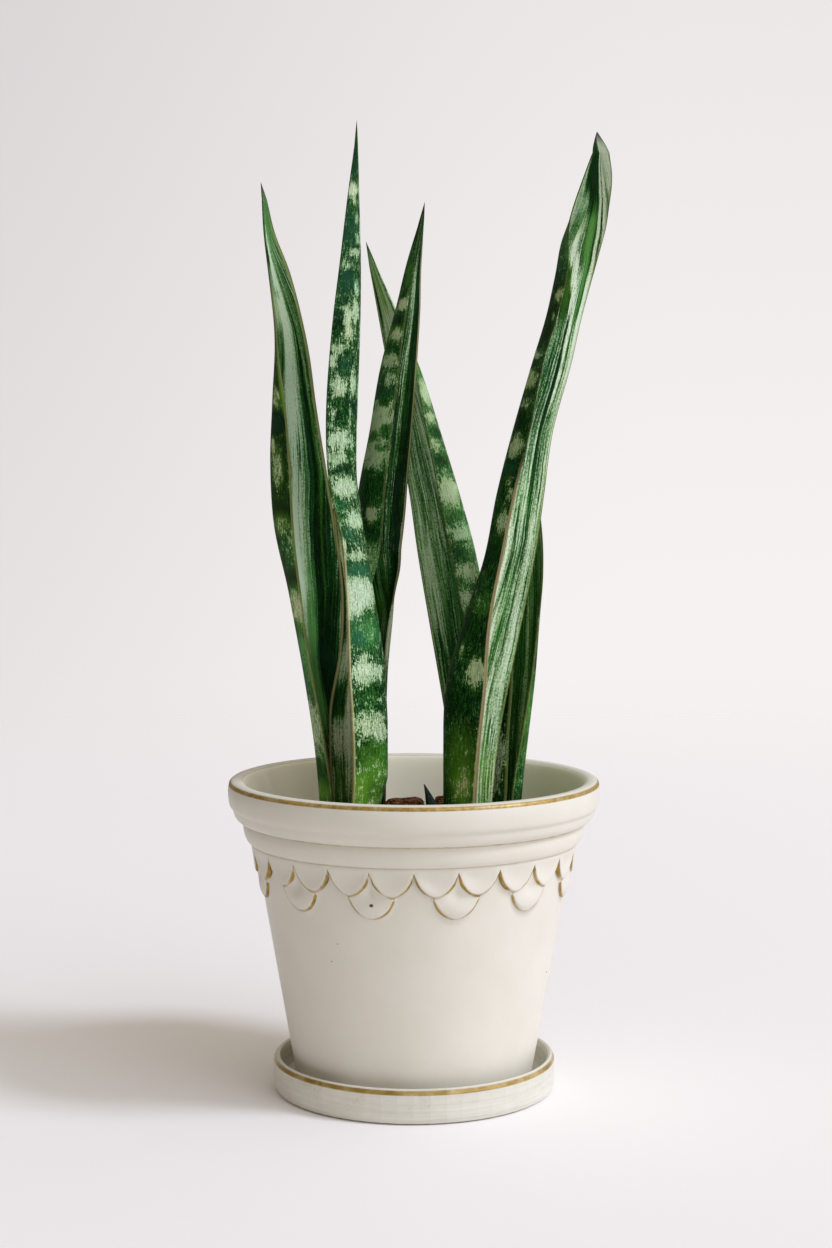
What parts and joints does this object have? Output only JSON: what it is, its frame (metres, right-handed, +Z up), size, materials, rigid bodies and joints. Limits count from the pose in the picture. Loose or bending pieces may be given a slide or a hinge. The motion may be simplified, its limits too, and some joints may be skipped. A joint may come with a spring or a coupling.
{
  "type": "potted snake plant",
  "caption": "Upright mottled sword-shaped leaves with a young shoot in a round glazed pot with a scalloped frieze, standing on its saucer.",
  "frame": {"origin": "middle of the saucer's flat underside, on the table", "axes": "+Z up along the pot's axis, -Y towards the front, +X to the plant's right as seen from the front"},
  "size_m": [0.1846, 0.1808, 0.467],
  "materials": {
    "pot_glaze": "satin ivory glaze with thin gold lining",
    "saucer_glaze": "mottled grey-green glaze with a gold edge",
    "potting_mix": "loose bark and peat",
    "root_skin": "matt fibrous skin",
    "leaf_skin": "waxy, dark green mottled with pale mint bands and streaks",
    "shoot_skin": "waxy dark blue-green",
    "bark": "split brown bark"
  },
  "bodies": {
    "root": {"pot": "pot_glaze", "saucer": "saucer_glaze", "soil": "potting_mix", "rootstock": "root_skin", "leaf_left": "leaf_skin", "leaf_centre_tall": "leaf_skin", "leaf_centre_right": "leaf_skin", "leaf_crossing": "leaf_skin", "leaf_right_broad": "leaf_skin", "leaf_right_back": "leaf_skin", "pup_shoot": "shoot_skin", "bark_chip": "bark", "bark_crumb": "bark"}
  },
  "joints": []
}
